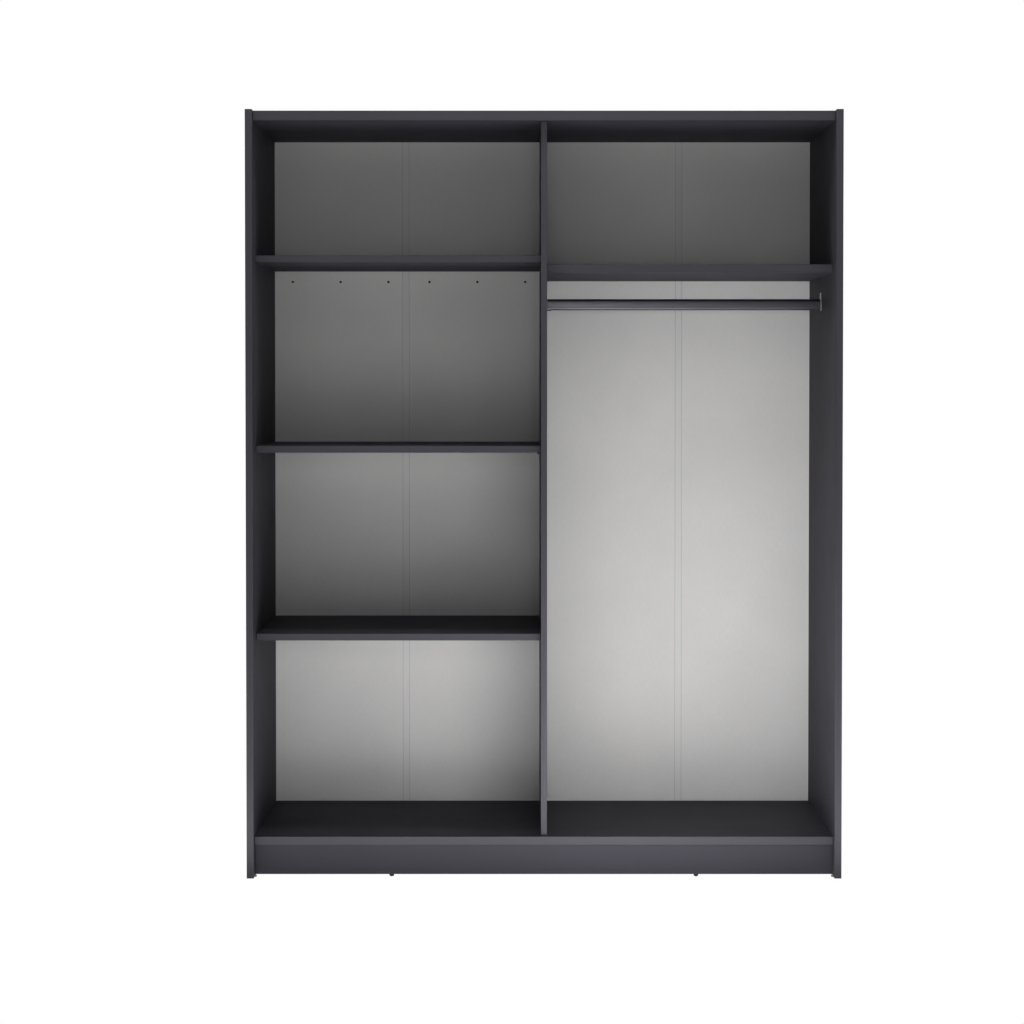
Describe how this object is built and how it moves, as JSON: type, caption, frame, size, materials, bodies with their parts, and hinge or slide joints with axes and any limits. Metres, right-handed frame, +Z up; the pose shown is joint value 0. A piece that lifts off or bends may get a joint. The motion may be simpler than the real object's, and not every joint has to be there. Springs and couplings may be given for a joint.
{
  "type": "sliding door wardrobe",
  "caption": "Open-fronted wardrobe carcass for sliding doors, with shelves in one bay and a shelf over a lift-out hanging rail in the other.",
  "frame": {"origin": "on the floor, under the middle of the whole carcass", "axes": "+Z up, the open front faces -Y, +X to the right of someone who stands in front of it"},
  "size_m": [1.55, 0.6, 2.005],
  "materials": {
    "graphite_board": "melamine-faced chipboard, graphite, satin, fine pressed texture",
    "grey_sheet": "painted thin fibreboard, light grey, matt",
    "joiner_plastic": "extruded plastic, light grey",
    "rail_steel": "oval steel tube, graphite coating, semi-gloss",
    "support_chrome": "chromed die casting",
    "zinc_steel": "zinc plated",
    "glide_plastic": "moulded plastic, near black"
  },
  "bodies": {
    "carcass": {"back_joiner_left": "joiner_plastic", "back_joiner_right": "joiner_plastic", "back_sheet_1": "grey_sheet", "back_sheet_2": "grey_sheet", "back_sheet_3": "grey_sheet", "back_sheet_4": "grey_sheet", "bottom_panel": "graphite_board", "cam_bottom_left_front": "zinc_steel", "cam_bottom_left_rear": "zinc_steel", "cam_bottom_right_front": "zinc_steel", "cam_bottom_right_rear": "zinc_steel", "cam_left_shelf_inner_front": "zinc_steel", "cam_left_shelf_inner_rear": "zinc_steel", "cam_left_shelf_outer_front": "zinc_steel", "cam_left_shelf_outer_rear": "zinc_steel", "cam_plinth_front_left": "zinc_steel", "cam_plinth_front_right": "zinc_steel", "cam_plinth_rear_left": "zinc_steel", "cam_plinth_rear_right": "zinc_steel", "cam_right_shelf_inner_front": "zinc_steel", "cam_right_shelf_inner_rear": "zinc_steel", "cam_right_shelf_outer_front": "zinc_steel", "cam_right_shelf_outer_rear": "zinc_steel", "cam_top_left_front": "zinc_steel", "cam_top_left_rear": "zinc_steel", "cam_top_right_front": "zinc_steel", "cam_top_right_rear": "zinc_steel", "glide_plinth_left": "glide_plastic", "glide_plinth_right": "glide_plastic", "glide_side_left_front": "glide_plastic", "glide_side_left_rear": "glide_plastic", "glide_side_right_front": "glide_plastic", "glide_side_right_rear": "glide_plastic", "partition": "graphite_board", "partition_screw_bottom_front": "zinc_steel", "partition_screw_bottom_rear": "zinc_steel", "partition_screw_top_front": "zinc_steel", "partition_screw_top_rear": "zinc_steel", "pin_lower_inner_front": "zinc_steel", "pin_lower_inner_rear": "zinc_steel", "pin_lower_outer_front": "zinc_steel", "pin_lower_outer_rear": "zinc_steel", "pin_middle_inner_front": "zinc_steel", "pin_middle_inner_rear": "zinc_steel", "pin_middle_outer_front": "zinc_steel", "pin_middle_outer_rear": "zinc_steel", "plinth_front": "graphite_board", "plinth_rear": "graphite_board", "rail_screw_left": "support_chrome", "rail_screw_right": "support_chrome", "rail_support_left": "support_chrome", "rail_support_right": "support_chrome", "shelf_left_upper": "graphite_board", "shelf_right_upper": "graphite_board", "side_panel_left": "graphite_board", "side_panel_right": "graphite_board", "top_panel": "graphite_board"},
    "rail": {"hanging_rail": "rail_steel"},
    "middle_shelf": {"shelf_left_middle": "graphite_board"},
    "lower_shelf": {"shelf_left_lower": "graphite_board"}
  },
  "joints": [
    {"name": "rail_lift", "type": "slide", "parent": "carcass", "child": "rail", "axis": [0, 0, 1], "range_m": [0, 0.04]},
    {"name": "middle_shelf_lift", "type": "slide", "parent": "carcass", "child": "middle_shelf", "axis": [0, 0, 1], "range_m": [0, 0.05]},
    {"name": "lower_shelf_lift", "type": "slide", "parent": "carcass", "child": "lower_shelf", "axis": [0, 0, 1], "range_m": [0, 0.05]}
  ]
}
